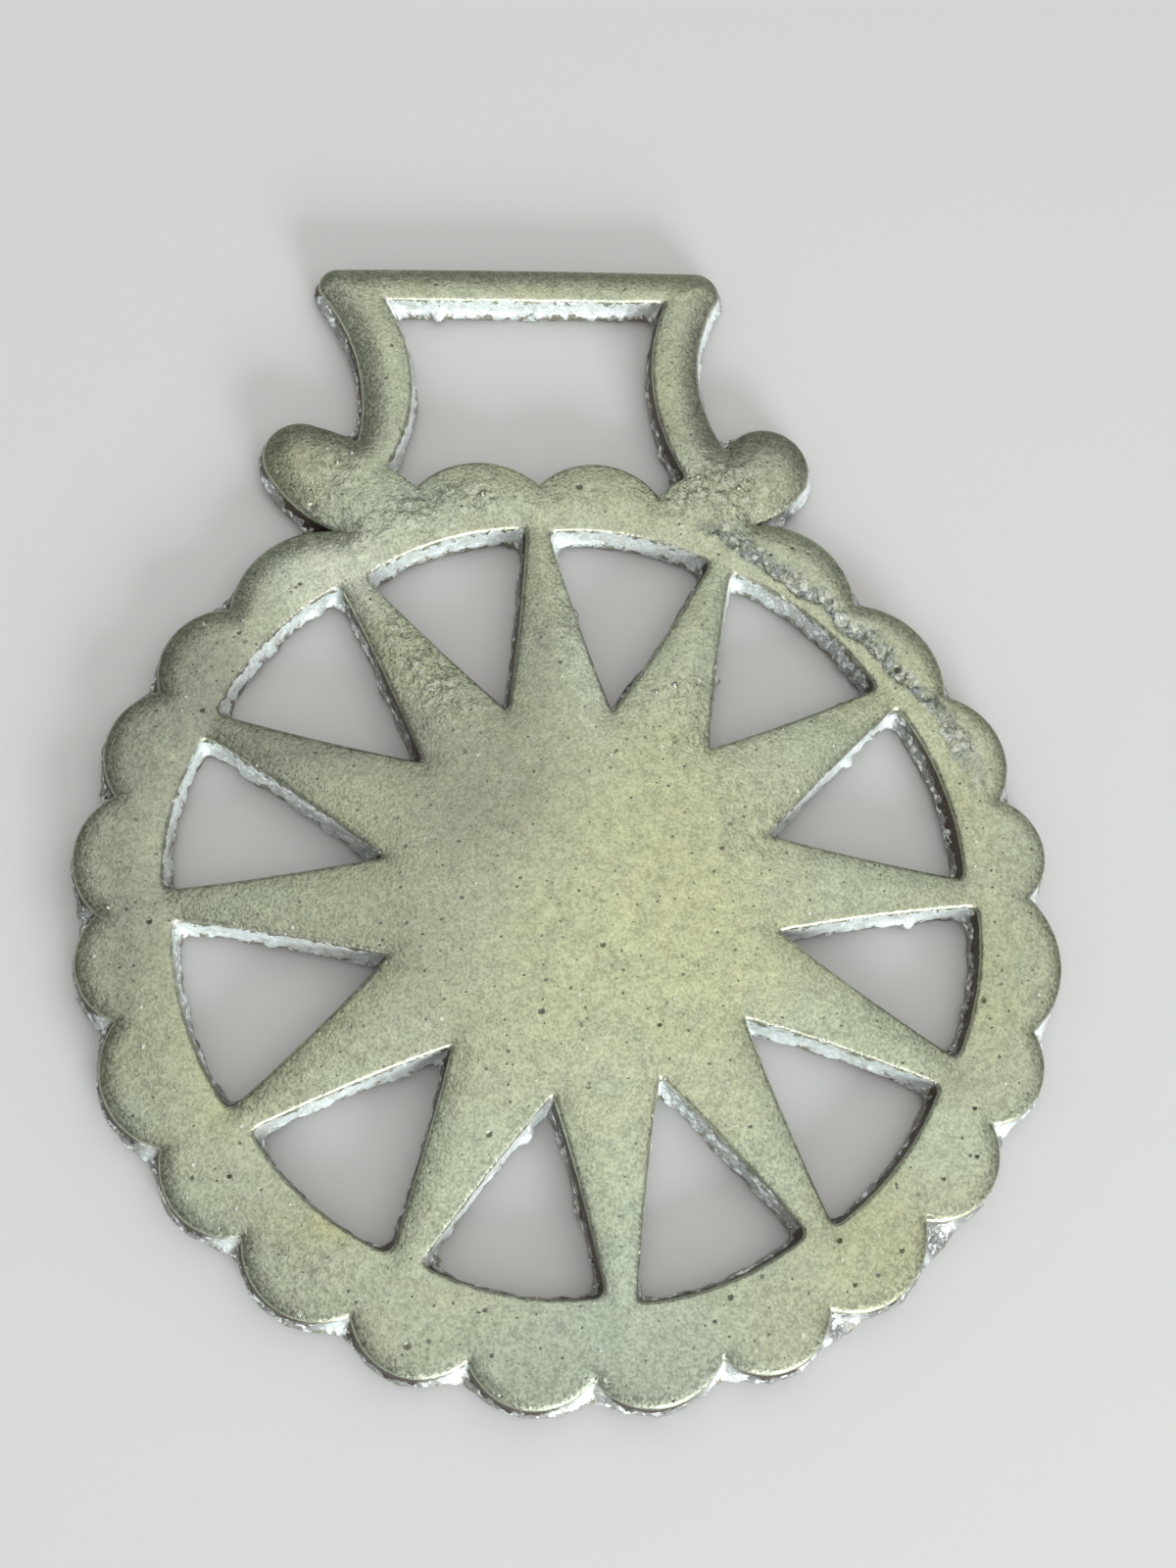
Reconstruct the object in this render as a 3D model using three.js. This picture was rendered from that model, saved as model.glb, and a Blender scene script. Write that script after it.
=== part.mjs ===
// Horse brass: one solid casting, a pierced sunburst disc with a scalloped rim, two ears and a strap hanger.
// Millimetres. It lies on its flat back with its face up (+Z) and its hanger towards +Y.
// The outlines are drawn around the middle of the disc, and the last step moves the middle of the whole
// casting to the origin.

import * as THREE from 'three';

// Thickness
const rimThickness = 3.3; // back to face, over the rim and the hanger
const hubRise = 1.3; // extra thickness in the middle of the hub
const domeRadius = 31; // the face swells inside this radius
const partingLow = 0.7; // the mould's parting line leaves a narrow upright land, from this height
const partingHigh = 1.1; // to this one

// Section of every cut edge, from the back to the face. Low levels are measured up from the back and high
// ones down from the face. grow is how far the metal stands out past the edge of the face.
const edgeSection = [
  { height: 0, grow: 0.2, webbed: true },
  { height: partingLow, grow: 0.5, webbed: true },
  { height: partingHigh, grow: 0.5, webbed: true },
  { height: 1.7, grow: 0.25, webbed: true },
  { height: 1.9, grow: 0.2, rimOnly: true },
  { drop: 0.4, grow: 0 },
  { drop: 0.1, grow: -0.35 },
  { drop: 0, grow: -0.9 },
];
const openingFlare = 0.7; // the walls of the slot and the openings stand out this share as far

// Rim: a ring of scallops between filed notches. Each row is one notch and the scallop clockwise of it:
// degrees off even spacing, the notch's radius, the scallop's rise above the line between its notches.
const firstNotchAngle = -14.2; // clockwise from +Y
const scallopSegments = 8;
const scallops = [
  [-3.5, 36.4, 2.1],
  [-2.5, 34.8, 2.4],
  [-1.0, 34.8, 2.2],
  [-2.3, 35.5, 2.3],
  [0.0, 34.3, 2.3],
  [2.5, 34.9, 2.5],
  [3.2, 35.3, 2.4],
  [1.4, 36.0, 2.4],
  [3.2, 36.9, 2.2],
  [1.0, 36.1, 2.6],
  [0.5, 35.6, 2.6],
  [1.4, 35.8, 2.6],
  [0.5, 35.5, 2.6],
  [1.0, 35.4, 2.6],
  [0.8, 35.0, 2.5],
  [0.4, 35.0, 2.5],
  [1.0, 35.2, 2.1],
  [-0.1, 35.9, 2.5],
  [0.8, 35.6, 2.2],
  [-1.1, 36.0, 2.4],
  [-1.3, 35.9, 2.3],
  [-2.0, 36.0, 2.1],
  [-3.0, 35.6, 2.1],
  [-0.9, 35.7, 2.3],
];
const slotFirstNotch = 0; // these two scallops are the lower edge of the strap slot
const slotLastNotch = 2;
const rimFirstNotch = 3; // between the right ear and the rim
const rimLastNotch = 23; // between the left ear and the rim

// Webs of unfiled metal that fill the low part of two notches: clockwise angle, half width in degrees,
// distance of their straight edge from the middle of the disc.
const webs = [
  { angle: 136.3, halfWidth: 5.2, reach: 37.3 },
  { angle: 152.2, halfWidth: 5.2, reach: 37.2 },
];

// Openings between the rays, clockwise from the hanger. Each row: clockwise angles of the two outer
// corners, their radius, then the angle and radius of the inner corner.
const openings = [
  [-0.9, 24.7, 30.5, 13.6, 15.0],
  [28.2, 57.2, 30.4, 44.2, 15.8],
  [61.2, 89.4, 30.8, 74.7, 15.8],
  [93.5, 115.8, 31.6, 103.0, 15.7],
  [120.4, 145.8, 31.1, 130.2, 15.7],
  [149.5, 175.4, 30.3, 160.1, 15.1],
  [179.8, 206.0, 29.6, 191.0, 15.5],
  [210.5, 236.4, 29.9, 222.3, 15.2],
  [240.4, 268.4, 30.4, 253.7, 15.3],
  [272.9, 295.8, 31.2, 282.7, 15.1],
  [299.6, 326.0, 31.3, 313.0, 15.8],
  [330.0, 355.7, 30.9, 342.3, 15.6],
];
const openingArcRise = 0.25; // the outer edge bows out past a circle about the middle
const raySideBow = 0.2; // hollow of each ray's side
const outerCornerRounding = 0.8;
const innerCornerRounding = 0.5;

// Strap hanger
const barTop = 55.1; // top of the hanger
const slotTop = 51.9; // lower face of the bar that the strap goes round
const strapLeft = -10.2; // the strap has worn this stretch of it flat
const strapRight = 8.4;
const strapWear = 0.03;

// Middle of the hub: rings of facets that carry the swelling
const hubRings = [12, 8, 4];
const hubSegments = 36;

// ---- outlines ----------------------------------------------------------------------------------------

function polar(clockwiseDegrees, radius) {
  const angle = THREE.MathUtils.degToRad(90 - clockwiseDegrees);
  return new THREE.Vector2(radius * Math.cos(angle), radius * Math.sin(angle));
}

// One corner of an outline and the arc to the next corner. Outlines are travelled with the metal on the
// right: a positive rise bows the arc away from the metal, a negative one bows it in.
function corner(point, rise, segments, rounding = 0) {
  return { point, rise, segments, rounding };
}

// Circle of the arc between two corners
function arcCircle(start, end, rise) {
  const chord = end.clone().sub(start);
  const half = chord.length() / 2;
  const side = Math.sign(rise);
  const radius = (half * half + rise * rise) / (2 * Math.abs(rise));
  const left = new THREE.Vector2(-chord.y, chord.x).normalize();
  const centre = start.clone().add(end).multiplyScalar(0.5);
  centre.addScaledVector(left, -side * (radius - Math.abs(rise)));
  return { centre, radius, side };
}

// Where two circles cross, near a given point
function crossing(first, second, near) {
  const between = second.centre.clone().sub(first.centre);
  const gap = between.length();
  const along = (gap * gap + first.radius ** 2 - second.radius ** 2) / (2 * gap);
  const across = Math.sqrt(Math.max(first.radius ** 2 - along * along, 0));
  const foot = first.centre.clone().addScaledVector(between, along / gap);
  const normal = new THREE.Vector2(-between.y, between.x).divideScalar(gap);
  const candidates = [across, -across].map((step) => foot.clone().addScaledVector(normal, step));
  candidates.sort((a, b) => a.distanceTo(near) - b.distanceTo(near));
  return candidates[0];
}

function arcPoint(arc, t) {
  const angle = arc.startAngle - arc.sweep * t;
  return new THREE.Vector2(
    arc.centre.x + arc.radius * Math.cos(angle),
    arc.centre.y + arc.radius * Math.sin(angle),
  );
}

// The outline as points, with the metal grown outwards by grow. Every arc keeps its centre and changes its
// radius, and every corner moves to where the new arcs cross.
function traceOutline(corners, grow) {
  const count = corners.length;
  const arcs = corners.map((c, i) => {
    const circle = arcCircle(c.point, corners[(i + 1) % count].point, c.rise);
    circle.radius += circle.side * grow;
    return circle;
  });
  const meets = corners.map((c, i) => crossing(arcs[(i + count - 1) % count], arcs[i], c.point));
  arcs.forEach((arc, i) => {
    const start = meets[i].clone().sub(arc.centre);
    const end = meets[(i + 1) % count].clone().sub(arc.centre);
    const turn = arc.side * (start.angle() - end.angle());
    arc.startAngle = start.angle();
    arc.sweep = arc.side * THREE.MathUtils.euclideanModulo(turn, 2 * Math.PI);
    const length = Math.abs(arc.sweep) * arc.radius;
    arc.from = corners[i].rounding / length;
    arc.to = 1 - corners[(i + 1) % count].rounding / length;
  });
  const points = [];
  corners.forEach((c, i) => {
    const arc = arcs[i];
    if (c.rounding > 0) {
      const before = arcs[(i + count - 1) % count];
      const bend = new THREE.QuadraticBezierCurve(
        arcPoint(before, before.to), meets[i], arcPoint(arc, arc.from),
      );
      points.push(bend.getPoint(1 / 3), bend.getPoint(2 / 3));
    }
    const sharpEnd = corners[(i + 1) % count].rounding === 0;
    const last = sharpEnd ? c.segments - 1 : c.segments;
    for (let step = 0; step <= last; step += 1) {
      points.push(arcPoint(arc, THREE.MathUtils.lerp(arc.from, arc.to, step / c.segments)));
    }
  });
  return points;
}

function notchCorner(index) {
  const [turn, radius, rise] = scallops[index];
  return corner(polar(firstNotchAngle + 15 * index + turn, radius), rise, scallopSegments);
}

function at(x, y) {
  return new THREE.Vector2(x, y);
}

function rimAndHangerCorners() {
  const corners = [];
  for (let index = rimFirstNotch; index < rimLastNotch; index += 1) {
    corners.push(notchCorner(index));
  }
  const leftEarFoot = notchCorner(rimLastNotch).point;
  corners.push(
    corner(leftEarFoot, 0.56, 5), // flank of the left ear
    corner(at(-23.1, 36.1), 2.11, 7), // its round end
    corner(at(-19.0, 40.34), 0.12, 2),
    corner(at(-15.75, 38.95), -1.57, 9, 0.5), // hollow side of the hanger
    corner(at(-18.5, 52.8), 0.76, 4), // horn of the bar
    corner(at(-16.85, barTop), 0.1, 4),
    corner(at(13.4, barTop), 0.87, 4),
    corner(at(15.62, 52.55), -2.08, 9),
    corner(at(15.0, 38.1), 4.0, 10, 0.5), // right ear
    corner(at(21.2, 34.1), 0.33, 4),
  );
  return corners;
}

function slotCorners() {
  const corners = [
    corner(at(-13.1, slotTop + strapWear), 2.15, 9, 0.5),
    corner(at(-13.35, 36.5), 0.06, 2, 0.4),
  ];
  for (let index = slotFirstNotch; index < slotLastNotch; index += 1) {
    corners.push(notchCorner(index));
  }
  corners.push(
    corner(notchCorner(slotLastNotch).point, 0.2, 2),
    corner(at(11.25, 35.4), 1.9, 9, 0.4),
    corner(at(10.75, slotTop + strapWear), 0.005, 1, 0.5),
    corner(at(strapRight, slotTop), 0.005, 1),
    corner(at(strapLeft, slotTop), 0.005, 1),
  );
  return corners;
}

function openingCorners([startAngle, endAngle, outerRadius, innerAngle, innerRadius]) {
  const halfAngle = THREE.MathUtils.degToRad((endAngle - startAngle) / 2);
  const arcRise = outerRadius * (1 - Math.cos(halfAngle)) + openingArcRise;
  return [
    corner(polar(endAngle, outerRadius), -arcRise, 7, outerCornerRounding),
    corner(polar(startAngle, outerRadius), -raySideBow, 3, outerCornerRounding),
    corner(polar(innerAngle, innerRadius), -raySideBow, 3, innerCornerRounding),
  ];
}

// Pushes the points of a webbed notch out to the web's straight edge
function fillNotches(points) {
  return points.map((point) => {
    const clockwise = 90 - THREE.MathUtils.radToDeg(Math.atan2(point.y, point.x));
    const web = webs.find((w) => Math.abs(clockwise - w.angle) < w.halfWidth);
    if (!web) {
      return point;
    }
    const edge = web.reach / Math.cos(THREE.MathUtils.degToRad(clockwise - web.angle));
    return point.clone().setLength(Math.max(point.length(), edge));
  });
}

// ---- solid -------------------------------------------------------------------------------------------

function faceHeight(point) {
  const fall = Math.min(point.length() / domeRadius, 1) ** 2;
  return rimThickness + hubRise * (1 - fall);
}

const vertices = [];
const triangles = [];

function addLoop(points, heightOf) {
  return points.map((point) => {
    vertices.push(point.x, point.y, heightOf(point));
    return vertices.length / 3 - 1;
  });
}

// Joins two loops of equal length. Travelled with the metal on the right, the wall faces left.
function addWall(lower, upper) {
  lower.forEach((start, i) => {
    const next = (i + 1) % lower.length;
    triangles.push(start, upper[i], lower[next]);
    triangles.push(lower[next], upper[i], upper[next]);
  });
}

// The wall of one outline, level by level. Returns its lowest and highest loops.
function addEdge(corners, isRim) {
  const levels = edgeSection.filter((level) => isRim || !level.rimOnly);
  const flare = isRim ? 1 : openingFlare;
  const loops = levels.map((level) => {
    const traced = traceOutline(corners, level.grow > 0 ? level.grow * flare : level.grow);
    const points = isRim && level.webbed ? fillNotches(traced) : traced;
    const heightOf = (point) => level.height ?? faceHeight(point) - level.drop;
    return addLoop(points, heightOf);
  });
  for (let i = 1; i < loops.length; i += 1) {
    addWall(loops[i - 1], loops[i]);
  }
  return { back: loops[0], face: loops[loops.length - 1] };
}

function flatPoint(index) {
  return new THREE.Vector2(vertices[3 * index], vertices[3 * index + 1]);
}

// Closes the region between an outer loop and its holes, facing up or down
function addCap(outer, holes, facesUp) {
  const all = [outer, ...holes].flat();
  const faces = THREE.ShapeUtils.triangulateShape(
    outer.map(flatPoint), holes.map((hole) => hole.map(flatPoint)),
  );
  for (const face of faces) {
    const [a, b, c] = face.map((i) => all[i]);
    const turnsLeft = THREE.ShapeUtils.area([a, b, c].map(flatPoint)) > 0;
    triangles.push(...(turnsLeft === facesUp ? [a, b, c] : [a, c, b]));
  }
}

// The swollen middle of the face: rings of facets down to one point. Returns its outer loop.
function addHub() {
  const rings = hubRings.map((radius) => {
    const points = [];
    for (let i = 0; i < hubSegments; i += 1) {
      points.push(polar((-360 * i) / hubSegments, radius));
    }
    return addLoop(points, faceHeight);
  });
  const [middle] = addLoop([at(0, 0)], faceHeight);
  for (let i = 1; i < rings.length; i += 1) {
    addWall(rings[i], rings[i - 1]);
  }
  const inner = rings[rings.length - 1];
  inner.forEach((start, i) => {
    triangles.push(start, inner[(i + 1) % hubSegments], middle);
  });
  return rings[0];
}

function castPlate() {
  const rim = addEdge(rimAndHangerCorners(), true);
  const slot = addEdge(slotCorners(), false);
  const gaps = openings.map((row) => addEdge(openingCorners(row), false));
  const pierced = [slot, ...gaps];
  addCap(rim.back, pierced.map((edge) => edge.back), false);
  addCap(rim.face, [...pierced.map((edge) => edge.face), addHub()], true);

  const geometry = new THREE.BufferGeometry();
  geometry.setAttribute('position', new THREE.Float32BufferAttribute(vertices, 3));
  geometry.setIndex(triangles);
  geometry.computeBoundingBox();
  const middle = geometry.boundingBox.getCenter(new THREE.Vector3());
  geometry.translate(-middle.x, -middle.y, 0);
  geometry.computeVertexNormals();
  return geometry;
}

const tarnishedBrass = new THREE.MeshStandardMaterial({
  color: 0xa7a583,
  roughness: 0.5,
  metalness: 1,
});

const plate = new THREE.Mesh(castPlate(), tarnishedBrass);
plate.name = 'horse_brass';

const group = new THREE.Group();
group.add(plate);

export default group;
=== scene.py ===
import math
import bpy
import numpy as np
from mathutils import Euler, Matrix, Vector
from mathutils.geometry import delaunay_2d_cdt


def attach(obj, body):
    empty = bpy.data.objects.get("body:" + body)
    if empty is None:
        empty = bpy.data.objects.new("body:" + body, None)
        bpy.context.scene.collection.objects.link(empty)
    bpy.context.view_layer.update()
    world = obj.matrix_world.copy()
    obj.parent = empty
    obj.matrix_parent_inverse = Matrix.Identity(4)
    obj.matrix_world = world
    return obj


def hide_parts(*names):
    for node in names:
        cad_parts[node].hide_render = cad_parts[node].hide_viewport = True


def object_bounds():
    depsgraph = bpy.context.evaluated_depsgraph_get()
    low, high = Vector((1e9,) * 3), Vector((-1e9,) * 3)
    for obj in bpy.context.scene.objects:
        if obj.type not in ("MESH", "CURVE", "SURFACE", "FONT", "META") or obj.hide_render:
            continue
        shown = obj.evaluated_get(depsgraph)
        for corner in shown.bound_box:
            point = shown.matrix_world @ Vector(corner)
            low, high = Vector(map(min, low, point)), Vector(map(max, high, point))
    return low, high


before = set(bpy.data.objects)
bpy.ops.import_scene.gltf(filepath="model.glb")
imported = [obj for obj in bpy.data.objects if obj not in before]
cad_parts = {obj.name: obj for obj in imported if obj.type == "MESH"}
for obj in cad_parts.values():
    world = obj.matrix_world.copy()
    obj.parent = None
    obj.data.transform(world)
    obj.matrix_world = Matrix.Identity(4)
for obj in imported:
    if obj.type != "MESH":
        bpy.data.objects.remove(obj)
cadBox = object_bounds()
mm = 0.001
print("frame loaded")


# Outlines are in millimetres around the middle of the disc and run with the metal on their right.
# A corner is x, y, how far the arc to the next corner rises to the left of travel, and how far its
# rounding reaches.

rim = {
    "firstNotch": -14.2,  # clockwise from the hanger, degrees
    "notchSpacing": 15,
    "scallops": [  # degrees off even spacing, notch radius, rise of the scallop clockwise of it
        (-3.5, 36.4, 2.1), (-2.5, 34.8, 2.4), (-1.0, 34.8, 2.2), (-2.3, 35.5, 2.3),
        (0.0, 34.3, 2.3), (2.5, 34.9, 2.5), (3.2, 35.3, 2.4), (1.4, 36.0, 2.4),
        (3.2, 36.9, 2.2), (1.0, 36.1, 2.6), (0.5, 35.6, 2.6), (1.4, 35.8, 2.6),
        (0.5, 35.5, 2.6), (1.0, 35.4, 2.6), (0.8, 35.0, 2.5), (0.4, 35.0, 2.5),
        (1.0, 35.2, 2.1), (-0.1, 35.9, 2.5), (0.8, 35.6, 2.2), (-1.1, 36.0, 2.4),
        (-1.3, 35.9, 2.3), (-2.0, 36.0, 2.1), (-3.0, 35.6, 2.1), (-0.9, 35.7, 2.3),
    ],
    "rightEarNotch": 3,
    "leftEarNotch": 23,
    "leftEarFlank": 0.56,
    "hanger": [  # x, y, rise of the arc to the next corner, rounding
        (-23.1, 36.1, 2.11, 0.0), (-19.0, 40.34, 0.12, 0.0), (-15.75, 38.95, -1.57, 0.5),
        (-18.5, 52.8, 0.76, 0.0), (-16.85, 55.1, 0.1, 0.0), (13.4, 55.1, 0.87, 0.0),
        (15.62, 52.55, -2.08, 0.0), (15.0, 38.1, 4.0, 0.5), (21.2, 34.1, 0.33, 0.0),
    ],
    "webs": [(136.3, 5.2, 37.3), (152.2, 5.2, 37.2)],  # clockwise angle, half width, distance out
}

gaps = {
    "slotLeft": [(-13.1, 51.93, 2.15, 0.5), (-13.35, 36.5, 0.06, 0.4)],
    "slotLastRise": 0.2,
    "slotRight": [
        (11.25, 35.4, 1.9, 0.4), (10.75, 51.93, 0.005, 0.5),
        (8.4, 51.9, 0.005, 0.0), (-10.2, 51.9, 0.005, 0.0),  # worn flat by the strap
    ],
    "openings": [  # clockwise angles of the outer corners, their radius, inner corner's angle and radius
        (-0.9, 24.7, 30.5, 13.6, 15.0), (28.2, 57.2, 30.4, 44.2, 15.8),
        (61.2, 89.4, 30.8, 74.7, 15.8), (93.5, 115.8, 31.6, 103.0, 15.7),
        (120.4, 145.8, 31.1, 130.2, 15.7), (149.5, 175.4, 30.3, 160.1, 15.1),
        (179.8, 206.0, 29.6, 191.0, 15.5), (210.5, 236.4, 29.9, 222.3, 15.2),
        (240.4, 268.4, 30.4, 253.7, 15.3), (272.9, 295.8, 31.2, 282.7, 15.1),
        (299.6, 326.0, 31.3, 313.0, 15.8), (330.0, 355.7, 30.9, 342.3, 15.6),
    ],
    "arcRise": 0.25,  # the outer edge bows past a circle about the middle
    "sideBow": 0.2,  # hollow of each ray's side
    "outerRounding": 0.8,
    "innerRounding": 0.5,
}


def polar(clockwise, radius):
    # a point at a radius, at an angle turned clockwise from +Y
    angle = np.radians(90 - np.asarray(clockwise, float))
    return np.stack([radius * np.cos(angle), radius * np.sin(angle)], -1)


def notchCorner(index):
    # the notch between two scallops, counted clockwise from the hanger
    turn, radius, rise = rim["scallops"][index]
    angle = rim["firstNotch"] + rim["notchSpacing"] * index + turn
    return (*polar(angle, radius), rise, 0.0)


def rimCorners():
    # the scallops clockwise from the right ear to the left one, then the ears and the hanger
    corners = [notchCorner(i) for i in range(rim["rightEarNotch"], rim["leftEarNotch"])]
    x, y, _, _ = notchCorner(rim["leftEarNotch"])
    return np.array([*corners, (x, y, rim["leftEarFlank"], 0.0), *rim["hanger"]])


def slotCorners():
    # the left side, the two scallops under the slot, then the right side and the hanger's bar
    x, y, _, _ = notchCorner(2)
    lower = [notchCorner(0), notchCorner(1), (x, y, gaps["slotLastRise"], 0.0)]
    return np.array([*gaps["slotLeft"], *lower, *gaps["slotRight"]])


def openingCorners(row):
    # a triangle with hollow sides whose outer side follows the ring
    start, end, outer, innerAngle, inner = row
    rise = outer * (1 - math.cos(math.radians((end - start) / 2))) + gaps["arcRise"]
    return np.array([
        (*polar(end, outer), -rise, gaps["outerRounding"]),
        (*polar(start, outer), -gaps["sideBow"], gaps["outerRounding"]),
        (*polar(innerAngle, inner), -gaps["sideBow"], gaps["innerRounding"]),
    ])


def arcCircles(corners):
    # circle through each corner and the next, whose arc rises by the given height to the left of travel
    start, end, rise = corners[:, :2], np.roll(corners[:, :2], -1, 0), corners[:, 2]
    chord = end - start
    length = np.hypot(*chord.T)
    radius = (length**2 / 4 + rise**2) / (2 * np.abs(rise))
    left = np.stack([-chord[:, 1], chord[:, 0]], 1) / length[:, None]
    side = np.sign(rise)
    centre = (start + end) / 2 - left * (side * (radius - np.abs(rise)))[:, None]
    return centre, radius, side


def crossings(centreA, radiusA, centreB, radiusB, near):
    # where two circles cross: the foot on the line of centres, and half the common chord to either side
    between = centreB - centreA
    gap = np.hypot(*between.T)
    along = (gap**2 + radiusA**2 - radiusB**2) / (2 * gap)
    across = np.sqrt(np.maximum(radiusA**2 - along**2, 0))
    foot = centreA + between * (along / gap)[:, None]
    offset = np.stack([-between[:, 1], between[:, 0]], 1) * (across / gap)[:, None]
    first, second = foot + offset, foot - offset
    nearer = np.hypot(*(first - near).T) < np.hypot(*(second - near).T)
    return np.where(nearer[:, None], first, second)


def traceOutline(corners, grow, step, bend=3):
    # every arc keeps its centre and changes its radius by grow; its corners move to where the arcs cross,
    # and a rounded corner is a quadratic curve of bend points between its two arcs
    centre, radius, side = arcCircles(corners)
    chord = np.hypot(*(np.roll(corners[:, :2], -1, 0) - corners[:, :2]).T)
    length = radius * 2 * np.arcsin(np.clip(chord / (2 * radius), 0, 1))
    rounding = corners[:, 3]
    counts = np.maximum(np.ceil((length - rounding) / step), 2).astype(int)
    radius = radius + side * grow
    meets = crossings(np.roll(centre, 1, 0), np.roll(radius, 1), centre, radius, corners[:, :2])
    ends = np.roll(meets, -1, 0)
    startAngle = np.arctan2(*(meets - centre).T[::-1])
    endAngle = np.arctan2(*(ends - centre).T[::-1])
    sweep = side * ((side * (startAngle - endAngle)) % (2 * math.pi))
    grownLength = np.abs(sweep) * radius
    first, last = rounding / grownLength, 1 - np.roll(rounding, -1) / grownLength

    def onArc(i, t):
        angle = startAngle[i] - sweep[i] * np.asarray(t)
        return centre[i] + radius[i] * np.stack([np.cos(angle), np.sin(angle)], -1)

    parts = []
    for i in range(len(corners)):
        if rounding[i] > 0:
            t = (np.arange(1, bend + 1) / (bend + 1))[:, None]
            before, after = onArc(i - 1, last[i - 1]), onArc(i, first[i])
            parts.append((1 - t) ** 2 * before + 2 * t * (1 - t) * meets[i] + t**2 * after)
        sharpEnd = rounding[(i + 1) % len(corners)] == 0
        t = np.linspace(first[i], last[i], counts[i] + 1)
        parts.append(onArc(i, t[:-1] if sharpEnd else t))
    return np.concatenate(parts)


cellPrimes = np.array([73856093, 19349663, 83492791])  # large odd numbers that scatter a cell's bits
seedPrime = 97531
mixers = ((13, 1274126177), (11, 668265263))
lowBits = 0x7FFFFFFF


def hashNoise(cells, seed):
    # one number from -1 to 1 for each whole-numbered cell
    mixed = (cells.astype(np.int64) * cellPrimes).sum(-1) + seed * seedPrime
    for shift, prime in mixers:
        mixed = (mixed ^ (mixed >> shift)) * prime & lowBits
    return mixed / (lowBits // 2) - 1


def latticeNoise(points, size, seed):
    # random values on the corners of a cubic lattice, blended smoothly inside each cube
    scaled = points / size
    cell = np.floor(scaled)
    t = scaled - cell
    t = t * t * (3 - 2 * t)
    total = np.zeros(len(points))
    for corner in np.ndindex(2, 2, 2):
        share = np.prod(np.where(corner, t, 1 - t), -1)
        total += share * hashNoise(cell + np.array(corner), seed)
    return total


def layeredNoise(points, size, seed, layers=3):
    # lattice noise, then finer layers at half the size and half the strength
    total = sum(latticeNoise(points, size / 2**k, seed + k) / 2**k for k in range(layers))
    return total / (2 - 2 ** (1 - layers))


def smoothStep(low, high, value):
    # 0 below low, 1 above high, and an S-curve between them
    t = np.clip((value - low) / (high - low), 0, 1)
    return t * t * (3 - 2 * t)


def batches(points, most=2500):
    # rows of the points, a few thousand at a time
    return np.array_split(np.arange(len(points)), max(1, len(points) // most))


def distanceTo(points, loops):
    # distance from each point to the nearest side of closed outlines: the nearest corner first, then the
    # two sides that meet there
    corners = np.concatenate(loops)
    after = np.concatenate([np.roll(loop, -1, 0) for loop in loops])
    before = np.concatenate([np.roll(loop, 1, 0) for loop in loops])
    result = np.zeros(len(points))
    for part in batches(points):
        p = points[part]
        gap = (p[:, None, 0] - corners[None, :, 0]) ** 2 + (p[:, None, 1] - corners[None, :, 1]) ** 2
        nearest = gap.argmin(1)
        best = np.sqrt(gap[np.arange(len(part)), nearest])
        for other in (after, before):
            start, along = corners[nearest], other[nearest] - corners[nearest]
            t = np.clip(((p - start) * along).sum(1) / (along**2).sum(1), 0, 1)
            best = np.minimum(best, np.hypot(*(p - start - along * t[:, None]).T))
        result[part] = best
    return result


def insideOutlines(points, loops):
    # a point is in the metal if a ray from it towards +X crosses the outlines an odd number of times
    start = np.concatenate(loops)
    end = np.concatenate([np.roll(loop, -1, 0) for loop in loops])
    level = end[:, 1] == start[:, 1]
    slope = (end[:, 0] - start[:, 0]) / np.where(level, 1, end[:, 1] - start[:, 1])
    inside = np.zeros(len(points), bool)
    for part in batches(points):
        x, y = points[part, 0][:, None], points[part, 1][:, None]
        spans = (start[None, :, 1] > y) != (end[None, :, 1] > y)
        crossing = start[None, :, 0] + (y - start[None, :, 1]) * slope[None]
        inside[part] = (spans & (x < crossing)).sum(1) % 2 == 1
    return inside


noiseSeeds = {"wobble": 11, "burr": 17, "web": 23, "back": 31, "waves": 40, "skin": 60, "flaw": 80}

relief = {
    "rimThickness": 3.3,
    "hubRise": 1.3,
    "domeRadius": 31.0,
    "crownDrop": (0.3, 0.85),  # how far the outer edge rolls off, at the foot and at the hanger
    "crownWidth": (1.6, 3.3),
    "crownSpan": (5, 42),  # where the one gives way to the other, up the brass
    "rayDrop": 0.32,  # the same along the openings
    "rayWidth": 3.0,
    "waves": [(7.0, 0.03), (2.6, 0.016), (1.0, 0.006)],  # size and height of the casting's unevenness
    "skin": (0.6, 0.13),  # size and height of the beads where rough cast skin is left
    "skinInFlaw": 1.5,  # how rough the seam is, and the most that any place is
    "fineBeads": (0.6, 0.5),  # size and height of the beads on those beads, to theirs
    "beadFloor": -0.1,
    "beadLevel": 0.2,
    "flawWander": (1.8, 0.4),  # size and reach of the seam's raggedness
    "flawStep": (-1.0, -0.65),  # its sharp side and its ramp, in half widths
    "flawRamp": (-0.2, 1.5),
    "flawFull": 0.12,  # depth at which it is painted in full
    "markSlope": (0.25, 0.95),  # share of a mark's radius that slopes
    "pitStep": (0.04, 0.12),  # where marks start to be painted, and are in full
    "beadStep": (0.03, 0.09),
    "flaw": [  # a gouged seam in the ring: x, y, half width, depth
        (12.4, 31.2, 0.6, 0.05), (14.5, 29.9, 1.1, 0.16), (18.2, 26.9, 1.0, 0.2), (20.3, 25.1, 0.8, 0.22),
        (22.2, 24.0, 0.7, 0.2), (23.3, 21.8, 0.8, 0.26), (25.4, 20.7, 0.9, 0.2), (27.4, 18.0, 0.9, 0.24),
        (28.7, 16.2, 0.8, 0.12), (30.8, 14.0, 1.1, 0.08), (32.0, 11.4, 1.4, 0.08), (32.9, 8.2, 1.2, 0.04),
    ],
}

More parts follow.
